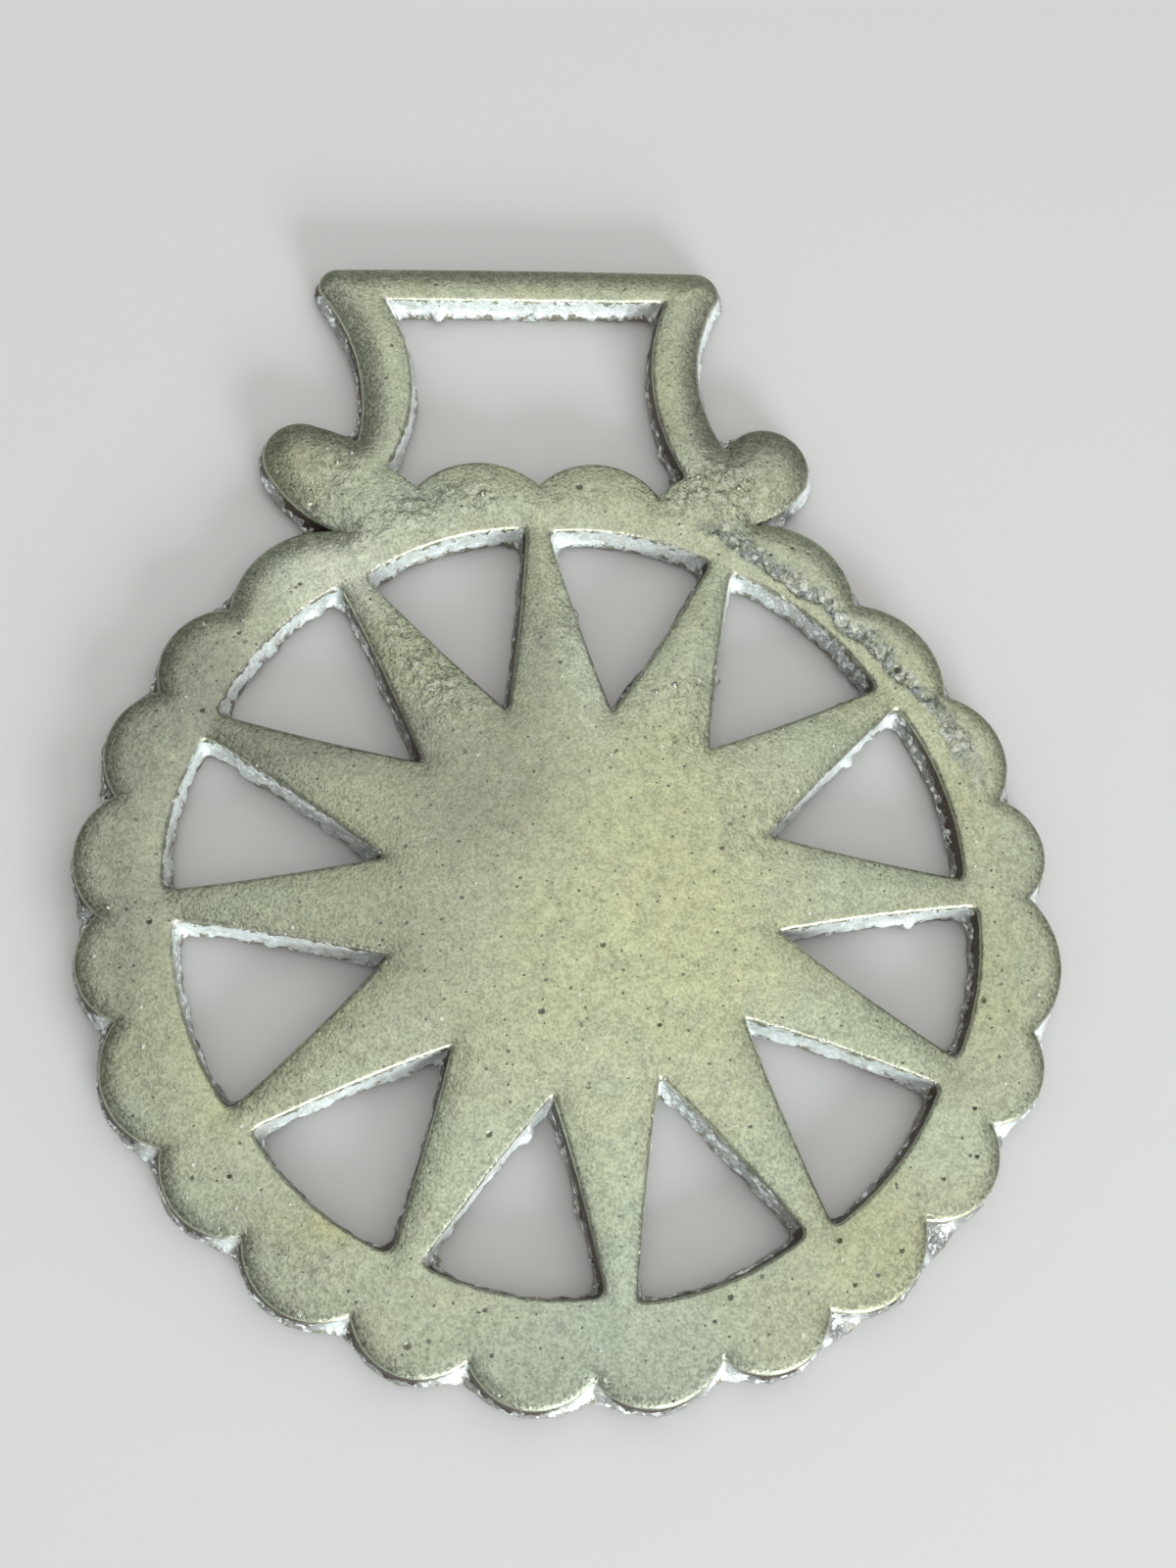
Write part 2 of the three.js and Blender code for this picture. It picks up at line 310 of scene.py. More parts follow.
marks = [  # single pits in the face, and beads where the depth is negative: x, y, radius, depth
    (2.2, 34.4, 0.3, 0.2), (20.9, 28.3, 0.2, 0.12), (19.6, 28.8, 0.24, 0.14), (17.7, 28.2, 0.2, 0.12),
    (18.7, 24.4, 0.22, 0.15), (-20.6, 26.0, 0.22, 0.15), (-25.4, 21.9, 0.2, 0.14), (-28.2, 15.6, 0.24, 0.15),
    (-32.1, -0.9, 0.26, 0.16), (-26.4, -19.7, 0.24, 0.15), (-14.2, -32.1, 0.36, 0.14),
    (-7.8, -17.8, 0.3, 0.12), (17.7, -26.7, 0.26, 0.16), (18.5, -29.9, 0.24, 0.15), (9.2, -30.2, 0.26, 0.16),
    (22.3, -27.7, 0.24, 0.15), (24.8, -25.4, 0.22, 0.14), (31.0, -9.4, 0.3, 0.16), (29.2, -17.6, 0.24, 0.15),
    (28.9, -21.2, 0.22, 0.14), (26.1, -22.7, 0.2, 0.13), (-19.5, 32.9, 0.4, 0.12), (27.4, 18.0, 0.42, 0.35),
    (-3.5, -9.0, 0.32, 0.16), (1.4, -4.2, 0.24, 0.14), (5.3, -10.4, 0.22, 0.13), (11.2, 3.1, 0.22, 0.13),
    (-35.1, 0.3, 0.26, -0.1), (-16.2, 37.6, 0.3, -0.12), (-17.4, 36.6, 0.26, -0.1), (-28.1, 22.8, 0.24, -0.1),
    (-25.1, 23.0, 0.22, -0.09), (-5.8, 33.8, 0.34, -0.14), (-6.4, 33.1, 0.24, -0.1), (8.6, 16.6, 0.34, -0.12),
    (7.1, 16.1, 0.26, -0.1), (-9.4, 28.9, 0.22, -0.08), (12.2, 35.3, 0.28, -0.1), (15.5, 34.2, 0.24, -0.1),
]

patches = {  # soft areas of the surface: x, y, radius along x and y, strength
    "castSkin": [
        (-11.2, 19.0, 1.9, 2.4, 1.0), (-12.9, 22.0, 1.4, 1.8, 0.8), (-9.2, 16.0, 1.9, 2.2, 0.9),
        (-10.9, 32.3, 3.6, 1.6, 0.9), (-6.4, 33.6, 2.6, 1.4, 0.9), (-15.0, 30.2, 2.4, 2.0, 0.6),
        (-17.3, 35.8, 2.4, 2.6, 0.7), (14.6, 34.4, 3.6, 3.2, 1.0), (9.6, 34.6, 2.6, 2.4, 0.8),
        (1.5, 33.0, 4.0, 1.4, 0.4), (8.8, 16.2, 2.2, 1.6, 0.5), (0.4, 23.0, 1.2, 5.0, 0.4),
        (13.5, 5.0, 3.5, 4.5, 0.35), (9.5, 12.0, 3.0, 3.0, 0.35), (-21.0, -26.0, 4.0, 3.0, 0.3),
    ],
    # darker patches: tarnish, and painted shade over the upper left of the face
    "tarnishAndShade": [
        (-3.5, 16.0, 4.0, 8.0, 0.5), (-20.0, 13.0, 12.0, 3.5, 1.0), (-29.0, 19.0, 7.0, 8.0, 1.0),
        (-7.0, 7.0, 7.0, 5.0, 1.0), (-14.0, -2.0, 8.0, 7.0, 0.6), (-11.0, 20.0, 3.0, 6.0, 0.15),
        (-34.0, 0.0, 5.0, 14.0, 0.9), (-25.0, -25.0, 8.0, 6.0, 0.4), (14.0, 44.0, 3.0, 6.0, 0.4),
        (33.0, -2.0, 4.0, 14.0, 0.3), (0.0, -38.0, 20.0, 3.0, 0.3), (0.0, 39.5, 30.0, 2.2, 0.5),
        (18.5, 39.0, 5.0, 4.0, 0.9), (-21.0, 39.0, 5.0, 4.0, 0.4), (23.5, 40.0, 3.0, 3.0, 0.8),
        (-1.6, 21.0, 0.9, 5.0, 0.5), (-17.0, 46.0, 2.0, 8.0, 0.2), (14.0, 46.0, 2.0, 8.0, 0.4),
        (0.0, 55.2, 18.0, 1.4, 0.2), (30.0, 27.0, 7.0, 7.0, 0.4), (28.0, -15.2, 1.6, 1.6, 0.6),
        (-4.0, -34.0, 26.0, 5.0, 0.35),
    ],
    # lighter patches: polish, and a painted sheen over the middle of the face
    "polishAndSheen": [(6.0, -2.0, 10.0, 11.0, 0.75), (18.0, -6.0, 9.0, 4.0, 0.3), (4.0, -20.0, 8.0, 8.0, 0.4)],
    "pale": [
        (-17.0, 27.0, 5.5, 4.0, 0.8), (-17.2, 46.0, 1.4, 6.0, 0.7), (2.0, 21.0, 1.6, 7.0, 0.5),
        (-23.0, 8.0, 4.0, 2.5, 0.2), (4.0, -26.0, 3.0, 7.0, 0.2),
    ],
    "cool": [
        (-33.6, -15.1, 2.2, 1.8, 0.9), (3.0, -24.0, 10.0, 9.0, 0.8), (-9.0, -20.0, 7.0, 8.0, 0.5),
        (15.0, 21.0, 4.0, 7.0, 0.5), (2.5, 24.0, 1.6, 7.0, 0.8), (23.0, 0.0, 8.0, 3.0, 0.3),
        (-8.0, 33.0, 10.0, 3.0, 0.5), (20.0, -12.0, 9.0, 6.0, 0.4), (0.0, -34.0, 24.0, 5.0, 0.4),
        (-17.0, 27.0, 6.0, 4.0, 0.6), (-24.0, -22.0, 8.0, 8.0, 0.3),
    ],
    "stain": [
        (-18.9, -23.4, 4.0, 1.6, 0.7), (-27.2, -12.5, 1.8, 4.0, 0.6), (31.0, 6.0, 3.5, 6.0, 0.35),
        (9.0, 4.0, 8.0, 7.0, 0.3), (31.0, -8.0, 4.0, 7.0, 0.5), (20.0, -27.0, 6.0, 5.0, 0.5),
        (-20.0, 37.0, 4.0, 3.0, 0.3),
    ],
}


def patchMask(points, areas):
    # sum of bell-shaped areas, at most 1
    total = np.zeros(len(points))
    for x, y, radiusX, radiusY, strength in areas:
        across, along = (points[:, 0] - x) / radiusX, (points[:, 1] - y) / radiusY
        total += strength * np.exp(-(across**2) - along**2)
    return np.minimum(total, 1)


def flawDepth(points):
    # across the seam: a sharp step on its inner side and a ramp back up on the outer side, both ragged;
    # returns the depth and a mask
    line = np.array(relief["flaw"])
    flat = np.column_stack([points, np.zeros(len(points))])
    away, across = np.full(len(points), np.inf), np.zeros(len(points))
    width, depth = np.ones(len(points)), np.zeros(len(points))
    for start, end in zip(line[:-1], line[1:]):
        along = end[:2] - start[:2]
        t = np.clip(((points - start[:2]) @ along) / (along @ along), 0, 1)
        offset = points - start[:2] - t[:, None] * along
        gap = np.hypot(*offset.T)
        near = gap < away
        side = (along[0] * offset[:, 1] - along[1] * offset[:, 0]) / np.hypot(*along)
        away = np.where(near, gap, away)
        across = np.where(near, np.sign(side) * gap, across)
        width = np.where(near, start[2] + t * (end[2] - start[2]), width)
        depth = np.where(near, start[3] + t * (end[3] - start[3]), depth)
    size, reach = relief["flawWander"]
    across = (across + reach * layeredNoise(flat, size, noiseSeeds["flaw"], 2)) / width
    shape = smoothStep(*relief["flawStep"], across) * (1 - smoothStep(*relief["flawRamp"], across))
    return depth * shape, shape * smoothStep(0.0, relief["flawFull"], depth)


def markDepth(points):
    # each mark is round and flat with a sloping side; returns the depth of pits and height of beads
    pits, beads = np.zeros(len(points)), np.zeros(len(points))
    for x, y, radius, depth in marks:
        away = np.hypot(points[:, 0] - x, points[:, 1] - y) / radius
        shape = 1 - smoothStep(*relief["markSlope"], away)
        target = pits if depth > 0 else beads
        target += abs(depth) * shape
    return pits, beads


def faceHeight(points, rimDistance, gapDistance):
    # rim thickness, plus a dome that falls with the square of the radius, less the rolled-off edges,
    # then waves, beads on the cast skin, the seam and the marks
    r = np.hypot(*points.T)
    dome = relief["hubRise"] * (1 - np.minimum(r / relief["domeRadius"], 1) ** 2)
    rise = smoothStep(*relief["crownSpan"], points[:, 1])
    drop, width = [low + (high - low) * rise for low, high in (relief["crownDrop"], relief["crownWidth"])]
    crown = drop * (1 - np.minimum(rimDistance / width, 1)) ** 2
    shoulder = relief["rayDrop"] * (1 - np.minimum(gapDistance / relief["rayWidth"], 1)) ** 2
    height = relief["rimThickness"] + dome - crown - shoulder
    flat = np.column_stack([points, np.zeros(len(points))])
    for index, (size, amount) in enumerate(relief["waves"]):
        height += amount * latticeNoise(flat, size, noiseSeeds["waves"] + index)
    size, amount = relief["skin"]
    seam, seamMask = flawDepth(points)
    most = relief["skinInFlaw"]
    skin = np.minimum(patchMask(points, patches["castSkin"]) + most * seamMask, most)
    beaded = np.maximum(latticeNoise(flat, size, noiseSeeds["skin"]), relief["beadFloor"])
    finer, lower = relief["fineBeads"]
    beaded += lower * latticeNoise(flat, size * finer, noiseSeeds["skin"] + 1)
    height += amount * skin * (beaded - relief["beadLevel"])
    pits, beads = markDepth(points)
    return height - seam - pits + beads


casting = {
    "name": "brass_casting",
    "columnStep": 0.34,
    "frontGrid": 0.31,
    "roughGrid": 0.2,
    "backGrid": 1.2,
    "frontMargin": 0.6,  # how far a grid keeps from the metal's edge, to its spacing
    "backMargin": 0.45,
    "faceDrop": 0.36,  # where the rounded front edge starts
    "partingHeight": 0.95,
    # rows of the wall from the back up: height (share of the parting height, then 1 + share of the way to
    # the front edge), stand-out, roughness, share of the webs and fillets, paint value
    "wallRows": [
        (0.0, 0.06, 0.03, 1.0, 1.0),
        (0.14, 0.26, 0.08, 1.0, 0.96),
        (0.45, 0.4, 0.12, 1.0, 0.92),
        (0.78, 0.48, 0.15, 1.0, 0.88),
        (1.0, 0.5, 0.15, 1.0, 0.84),
        (1.12, 0.42, 0.13, 0.9, 0.78),
        (1.24, 0.28, 0.09, 0.65, 0.7),
        (1.4, 0.17, 0.06, 0.42, 0.6),
        (1.65, 0.09, 0.04, 0.2, 0.5),
        (2.0, 0.0, 0.015, 0.0, 0.36),
    ],
    "edgeRows": [  # rounded front edge: drop below the face, stand-out, paint value
        (0.17, -0.035, 0.24),
        (0.06, -0.12, 0.12),
        (0.012, -0.23, 0.04),
        (0.0, -0.4, 0.0),
    ],
    "gapFlare": 0.7,  # walls of the slot and the openings stand out this share as far
    "rimFillet": 0.6,  # the draft fills the sharp inner corners towards the back
    "gapFillet": 0.25,
    "filletWidth": 1.0,
    "filletTurn": (0.2, 0.9),  # sine of the turn at which a corner starts to fill, and fills in full
    "edgeInset": 0.02,  # where the height of the front edge is taken
    "rimUneven": 0.85,  # how wavy the walls are, to their rows' roughness
    "gapUneven": 1.5,
    "unevenSize": 0.9,
    "unevenLevel": 0.1,
    "burr": 6.0,  # height of the burrs, to the roughness
    "burrSize": 1.2,
    "burrLevel": 0.35,  # the noise below this makes none
    "fewerBurrs": 0.4,  # share of them on the rim, and share by which shade lessens them in openings
    "litSide": (0.45, -0.89),  # walls that face this way, towards the low light, get the least painted shade
    "shadeStep": (-0.3, 0.4),  # and those that face the other way are in shade
    "shadeTrim": 0.35,  # and stand out less by this share
    "crestWidth": 2.0,  # a scallop's wall is painted darker too, further than this from its notches
    "crestDarkening": 1.5,
    "crestEnd": (31, 35),  # but not up at the ears
    "webStep": 0.8,  # a point moved out this far is on a web in full
    "webSize": 0.8,
    "webLift": 0.5,
    "webPaint": (0.4, 0.7),  # on a web, rows painted past the first get at least the second
    "backLift": 0.03,  # unevenness of the back: its height, its size and where its noise is cut
    "backSize": 4.0,
    "backSlice": 9.0,
    "skinStep": 0.4,  # where the face gets finer triangles
    "seamStep": 0.1,
    "markSides": 9,
    "markRings": (0.25, 0.5, 0.75, 1.05),  # shares of a mark's radius
    "markClear": 1.3,
}


def outwardNormals(loop):
    # the metal is on the right of travel, so outwards is to the left
    along = np.roll(loop, -1, 0) - np.roll(loop, 1, 0)
    along /= np.hypot(*along.T)[:, None]
    return np.stack([-along[:, 1], along[:, 0]], 1)


def cornerFillets(loop, corners):
    # at corners that turn left the metal is pushed out along the corner's bisector, by a bell curve
    centre, radius, side = arcCircles(corners)
    spot = corners[:, :2]
    leaving = side[:, None] * (spot - centre)
    leaving = np.stack([leaving[:, 1], -leaving[:, 0]], 1) / radius[:, None]
    arriving = np.roll(side, 1)[:, None] * (spot - np.roll(centre, 1, 0))
    arriving = np.stack([arriving[:, 1], -arriving[:, 0]], 1) / np.roll(radius, 1)[:, None]
    turn = arriving[:, 0] * leaving[:, 1] - arriving[:, 1] * leaving[:, 0]
    turnsBack = (arriving * leaving).sum(1) < 0
    sharpness = smoothStep(*casting["filletTurn"], np.where(turnsBack, 1.0, turn) * (turn > 0))
    bisector = leaving - arriving
    bisector /= np.maximum(np.hypot(*bisector.T), 1e-6)[:, None]
    away = np.hypot(loop[:, None, 0] - spot[None, :, 0], loop[:, None, 1] - spot[None, :, 1])
    bell = np.exp(-((away / casting["filletWidth"]) ** 2)) * sharpness
    return bell @ bisector


def webPush(loop):
    # metal left in two notches: points are moved out to a straight edge across the notch
    radius = np.hypot(*loop.T)
    clockwise = (90 - np.degrees(np.arctan2(loop[:, 1], loop[:, 0]))) % 360
    target = radius.copy()
    for angle, halfWidth, reach in rim["webs"]:
        off = clockwise - angle
        edge = reach / np.cos(np.radians(np.clip(off, -2 * halfWidth, 2 * halfWidth)))
        target = np.where(np.abs(off) < halfWidth, np.maximum(target, edge), target)
    return loop * (target / radius - 1)[:, None]


def honeycomb(low, high, spacing):
    # rows of points, every second row shifted by half a spacing
    x = np.arange(low[0], high[0], spacing)
    y = np.arange(low[1], high[1], spacing * math.sqrt(3) / 2)
    gridX, gridY = np.meshgrid(x, y)
    gridX = gridX + spacing / 2 * (np.arange(len(y)) % 2)[:, None]
    return np.stack([gridX.ravel(), gridY.ravel()], 1)


def roughSkin(points):
    # which points are on cast skin or in the seam
    skin = patchMask(points, patches["castSkin"]) > casting["skinStep"]
    return skin | (flawDepth(points)[1] > casting["seamStep"])


def clearOfMarks(points):
    # the points without those at a mark, which has its own
    keep = np.ones(len(points), bool)
    for x, y, radius, _ in marks:
        keep &= np.hypot(points[:, 0] - x, points[:, 1] - y) > casting["markClear"] * radius
    return points[keep]


def markPoints():
    # a middle point and rings around it for every mark
    sides = casting["markSides"]
    angle = np.arange(sides) * 2 * math.pi / sides
    ring = np.stack([np.cos(angle), np.sin(angle)], 1)
    shape = np.concatenate([np.zeros((1, 2)), *[ring * share for share in casting["markRings"]]])
    return np.concatenate([shape * radius + (x, y) for x, y, radius, _ in marks])


def buildCasting():
    # every outline gives a column of points for each step along it; the wall's rows are the outlines
    # grown and roughened at each height, and two caps of triangles close the back and the face
    step = casting["columnStep"]
    outlines = [rimCorners(), slotCorners(), *[openingCorners(row) for row in gaps["openings"]]]
    plain = [traceOutline(c, 0.0, step) for c in outlines]
    sizes = [len(loop) for loop in plain]
    onRim = np.arange(sum(sizes)) < sizes[0]
    offset = np.concatenate([[0], np.cumsum(sizes)])
    following = np.concatenate([np.roll(np.arange(a, b), -1) for a, b in zip(offset[:-1], offset[1:])])
    normal = np.concatenate([outwardNormals(loop) for loop in plain])
    flares = [1.0] + [casting["gapFlare"]] * (len(plain) - 1)
    depths = [casting["rimFillet"]] + [casting["gapFillet"]] * (len(plain) - 1)
    fillet = np.concatenate([cornerFillets(loop, c) * d for loop, c, d in zip(plain, outlines, depths)])
    columns = offset[-1]
    web = np.concatenate([webPush(plain[0]), np.zeros((columns - sizes[0], 2))])
    webbed = smoothStep(0.0, casting["webStep"], np.hypot(*web.T))
    fillet *= 1 - webbed[:, None]
    notches = [outlines[0][:rim["leftEarNotch"] - rim["rightEarNotch"], :2]]
    nearNotch = np.exp(-((distanceTo(plain[0], notches) / casting["crestWidth"]) ** 2))
    crest = 1 - np.minimum(nearNotch + webbed[:sizes[0]], 1)
    crest *= 1 - smoothStep(*casting["crestEnd"], plain[0][:, 1])
    shade = -normal @ np.array(casting["litSide"])
    shaded = smoothStep(*casting["shadeStep"], shade)
    # painted shade: walls that face away from the low light, and scallop crests, are painted darker
    paintedShade = shade + casting["crestDarkening"] * np.pad(crest, (0, columns - sizes[0]))
    trim = casting["shadeTrim"] * shaded * (1 - webbed)
    fewer = casting["fewerBurrs"]
    clean = (1 - shaded * np.where(onRim, 1.0, fewer)) * np.where(onRim, fewer, 1.0)
    uneven = np.where(onRim, casting["rimUneven"], casting["gapUneven"])
    paintedPast, leastPaint = casting["webPaint"]
    print("columns", columns)

    def faceAt(points):
        return faceHeight(points, distanceTo(points, plain[:1]), distanceTo(points, plain[1:]))

    # walls
    inset = -casting["edgeInset"]
    frontEdge = faceAt(np.concatenate([traceOutline(c, inset, step) for c in outlines]))
    frontEdge -= casting["faceDrop"]
    rows, paint = [], []
    for height, grow, rough, share, value in casting["wallRows"]:
        flatRow = np.concatenate([traceOutline(c, grow * f, step) for c, f in zip(outlines, flares)])
        low = np.minimum(height, 1) * casting["partingHeight"]
        z = low + np.maximum(height - 1, 0) * (frontEdge - casting["partingHeight"])
        spot = np.column_stack([flatRow, z])
        waves = layeredNoise(spot, casting["unevenSize"], noiseSeeds["wobble"], 2)
        wobble = rough * uneven * (waves + casting["unevenLevel"]) - trim * grow
        lumps = latticeNoise(spot, casting["burrSize"], noiseSeeds["burr"]) - casting["burrLevel"]
        burr = casting["burr"] * rough * np.maximum(lumps, 0) * clean
        flatRow = flatRow + share * (fillet + web) + normal * (wobble + burr)[:, None]
        facet = layeredNoise(np.column_stack([flatRow, z]), casting["webSize"], noiseSeeds["web"], 2)
        lift = casting["webLift"] * webbed * share * (1 - share) * 4 * facet  # most half way up
        rows.append(np.column_stack([flatRow, np.maximum(z + lift, 0)]))
        paint.append(np.maximum(value, leastPaint * webbed * (value > paintedPast)))
    for drop, grow, value in casting["edgeRows"]:
        flatRow = np.concatenate([traceOutline(c, grow, step) for c in outlines])
        rows.append(np.column_stack([flatRow, faceAt(flatRow) - drop]))
        paint.append(np.full(len(flatRow), value))
    print("wall rows", len(rows))

    # quads between the rows, facing away from the metal
    start = np.arange(columns)
    quads = []
    for k in range(len(rows) - 1):
        low, high = k * columns, (k + 1) * columns
        quads.append(np.column_stack([low + start, high + start, high + following, low + following]))
    quads = np.concatenate(quads)

    def capPoints(loopRow, spacing, margin, isFace):
        # honeycombs of points inside the metal, clear of its edge by a margin; finer on rough skin
        loops = [loopRow[a:b, :2] for a, b in zip(offset[:-1], offset[1:])]
        low, high = loops[0].min(0), loops[0].max(0)
        points = honeycomb(low, high, spacing)
        if isFace:
            fine = honeycomb(low, high, casting["roughGrid"])
            points = np.concatenate([points[~roughSkin(points)], fine[roughSkin(fine)]])
            points = np.concatenate([clearOfMarks(points), markPoints()])
        points = points[insideOutlines(points, loops)]
        return points[distanceTo(points, loops) > margin], loops

    def cap(loopRow, base, spacing, margin, facesUp):
        # constrained triangles between the outlines' columns and the honeycomb
        points, loops = capPoints(loopRow, spacing, margin, facesUp)
        flat = np.concatenate([loopRow[:, :2], points])
        sides = np.stack([start, following], 1)
        result = delaunay_2d_cdt([Vector(p) for p in flat.tolist()], sides.tolist(), [], 0, 1e-7)
        faces = np.array(result[2])
        source = np.array([found[0] if found else -1 for found in result[3]])
        if len(result[0]) != len(flat) or (source < 0).any():
            raise ValueError("the cap's outline crosses itself")
        faces = source[faces]
        faces = faces[insideOutlines(flat[faces].mean(1), loops)]
        a, b, c = flat[faces[:, 0]], flat[faces[:, 1]], flat[faces[:, 2]]
        left = (b[:, 0] - a[:, 0]) * (c[:, 1] - a[:, 1]) > (b[:, 1] - a[:, 1]) * (c[:, 0] - a[:, 0])
        faces = np.where((left == facesUp)[:, None], faces, faces[:, ::-1])
        return points, np.where(faces < columns, faces, faces - columns + base)

    topRow = len(rows) - 1
    allRows = np.concatenate(rows)
    spacing = casting["frontGrid"]
    facePoints, faceTriangles = cap(
        rows[topRow], len(allRows), spacing, spacing * casting["frontMargin"], True)
    faceTriangles = np.where(faceTriangles < columns, faceTriangles + topRow * columns, faceTriangles)
    face = np.column_stack([facePoints, faceAt(facePoints)])
    spacing = casting["backGrid"]
    backPoints, backTriangles = cap(
        rows[0], len(allRows) + len(face), spacing, spacing * casting["backMargin"], False)
    spot = np.column_stack([backPoints, np.full(len(backPoints), casting["backSlice"])])
    hollow = 1 + layeredNoise(spot, casting["backSize"], noiseSeeds["back"], 2)
    back = np.column_stack([backPoints, casting["backLift"] * hollow])
    vertices = np.concatenate([allRows, face, back])
    paintAll = np.concatenate([*paint, np.zeros(len(face)), np.ones(len(back))])
    print("vertices", len(vertices), "triangles", 2 * len(quads) + len(faceTriangles) + len(backTriangles))
    caps = len(face) + len(back)
    values = {
        "wall": paintAll,
        "paintedShade": np.concatenate([np.tile(paintedShade, len(rows)), np.zeros(caps)]),
        "web": np.concatenate([np.tile(webbed, len(rows)), np.zeros(caps)]),
    }
    return vertices, quads, np.concatenate([faceTriangles, backTriangles]), values


def meshObject(name, vertices, quads, triangles):
    # a mesh of four-sided and three-sided faces, in an object at the origin
    mesh = bpy.data.meshes.new(name)
    mesh.vertices.add(len(vertices))
    mesh.vertices.foreach_set("co", vertices.astype(np.float32).ravel())
    corners = np.concatenate([quads.ravel(), triangles.ravel()]).astype(np.int32)
    sizes = np.concatenate([np.full(len(quads), 4), np.full(len(triangles), 3)])
    mesh.loops.add(len(corners))
    mesh.loops.foreach_set("vertex_index", corners)
    mesh.polygons.add(len(sizes))
    mesh.polygons.foreach_set("loop_start", (np.cumsum(sizes) - sizes).astype(np.int32))
    mesh.polygons.foreach_set("use_smooth", np.ones(len(sizes), bool))
    mesh.update(calc_edges=True)
    mesh.validate()
    piece = bpy.data.objects.new(name, mesh)
    bpy.context.scene.collection.objects.link(piece)
    return piece


def pointAttribute(piece, name, values):
    # a value for every point of the mesh, which the material reads
    layer = piece.data.attributes.new(name, "FLOAT", "POINT")
    layer.data.foreach_set("value", values.astype(np.float32))


castVertices, castQuads, castTriangles, castValues = buildCasting()
outlineMiddle = (castVertices[:, :2].max(0) + castVertices[:, :2].min(0)) / 2
cadMiddle = np.array((cadBox[0] + cadBox[1]) / 2)[:2] / mm
placed = castVertices + np.array([*(cadMiddle - outlineMiddle), cadBox[0].z / mm])
brass = meshObject(casting["name"], placed * mm, castQuads, castTriangles)
for valueName, values in castValues.items():
    pointAttribute(brass, valueName, values)
pointAttribute(brass, "flaw", flawDepth(castVertices[:, :2])[1])
pitDepth, beadHeight = markDepth(castVertices[:, :2])
pointAttribute(brass, "pit", smoothStep(*relief["pitStep"], pitDepth))
pointAttribute(brass, "bead", smoothStep(*relief["beadStep"], beadHeight))
for paintName, areas in patches.items():
    pointAttribute(brass, paintName, patchMask(castVertices[:, :2], areas))
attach(brass, "root")
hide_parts("horse_brass")
print("casting made")


studio = {
    "floorSide": 30.0,
    "floorColour": (0.355, 0.352, 0.345, 1),
    "backdrop": (0.42, 0.42, 0.415, 1),
    "room": (0.17, 0.17, 0.175, 1),  # what the metal mirrors
    "fill": (1.1, 1.1, 1.1, 1),  # what lights dull surfaces
    "roughness": 0.9,  # of the floor
    # name, place, target, width and depth, spread in degrees, power, colour, lights dull surfaces,
    # is mirrored; the low light is two, so that its mirror image is weaker
    "lights": [
        ("overhead", (0.13, 0.11, 0.50), (0.13, 0.11, 0.0), (0.62, 0.82), 180,
         1.7, (1.0, 0.99, 0.96), True, True),
        ("lowFront", (0.22, -0.56, 0.18), (0.0, 0.0, 0.0), (0.34, 0.16), 56,
         0.85, (0.88, 0.97, 1.0), True, False),
        ("lowGleam", (0.22, -0.56, 0.18), (0.0, 0.0, 0.0), (0.34, 0.16), 56,
         0.48, (0.96, 0.98, 1.0), False, True),
    ],
}


def buildStudio():
    # a plain floor, three lights, and a room whose brightness differs for what is lit, mirrored and seen
    side = studio["floorSide"] / 2
    corners = np.array([(-side, -side, 0), (side, -side, 0), (side, side, 0), (-side, side, 0)])
    floor = meshObject("floor", corners, np.array([(0, 1, 2, 3)]), np.zeros((0, 3), int))
    paper = bpy.data.materials.new("studioPaper")
    paper.use_nodes = True
    shader = paper.node_tree.nodes["Principled BSDF"]
    shader.inputs["Base Color"].default_value = studio["floorColour"]
    shader.inputs["Roughness"].default_value = studio["roughness"]
    floor.data.materials.append(paper)
    for name, place, target, size, spread, power, colour, lights, mirrored in studio["lights"]:
        data = bpy.data.lights.new(name, "AREA")
        data.shape, data.size, data.size_y = "RECTANGLE", *size
        data.energy, data.color, data.spread = power, colour, math.radians(spread)
        lamp = bpy.data.objects.new(name, data)
        lamp.visible_diffuse, lamp.visible_glossy = lights, mirrored
        lamp.location = place
        lamp.rotation_euler = (Vector(target) - Vector(place)).to_track_quat("-Z", "Y").to_euler()
        bpy.context.scene.collection.objects.link(lamp)
    world = bpy.data.worlds.new("studioRoom")
    bpy.context.scene.world = world
    world.use_nodes = True
    nodes, links = world.node_tree.nodes, world.node_tree.links
    nodes.clear()
    path = nodes.new("ShaderNodeLightPath")
    light = nodes.new("ShaderNodeBackground")
    light.inputs["Color"].default_value = studio["fill"]
    for ray, name in (("Is Glossy Ray", "room"), ("Is Camera Ray", "backdrop")):
        other, mix = nodes.new("ShaderNodeBackground"), nodes.new("ShaderNodeMixShader")
        other.inputs["Color"].default_value = studio[name]
        links.new(path.outputs[ray], mix.inputs[0])
        links.new(light.outputs[0], mix.inputs[1])
        links.new(other.outputs[0], mix.inputs[2])
        light = mix
    links.new(light.outputs[0], nodes.new("ShaderNodeOutputWorld").inputs["Surface"])
    bpy.context.scene.view_settings.view_transform = "Standard"


viewpoint = {
    "place": (-18.1, -40.7, 137.2),  # millimetres from the middle of the back
    "turn": (17.28, -7.07, -3.69),  # degrees
    "lens": 41.64,  # millimetres, on a sensor as wide as this
    "sensor": 36.0,
    "nearest": 5.0,  # millimetres
}


def buildCamera():
    # close above the brass, a little below its middle and to its left
    data = bpy.data.cameras.new("viewpoint")
    data.lens, data.sensor_width = viewpoint["lens"], viewpoint["sensor"]
    data.clip_start = viewpoint["nearest"] * mm
    camera = bpy.data.objects.new("viewpoint", data)
    middle = (cadBox[0] + cadBox[1]) / 2
    camera.location = Vector((middle.x, middle.y, cadBox[0].z)) + Vector(viewpoint["place"]) * mm
    camera.rotation_euler = Euler([math.radians(a) for a in viewpoint["turn"]], "XYZ")
    bpy.context.scene.collection.objects.link(camera)
    bpy.context.scene.camera = camera


buildStudio()
buildCamera()
print("studio made")


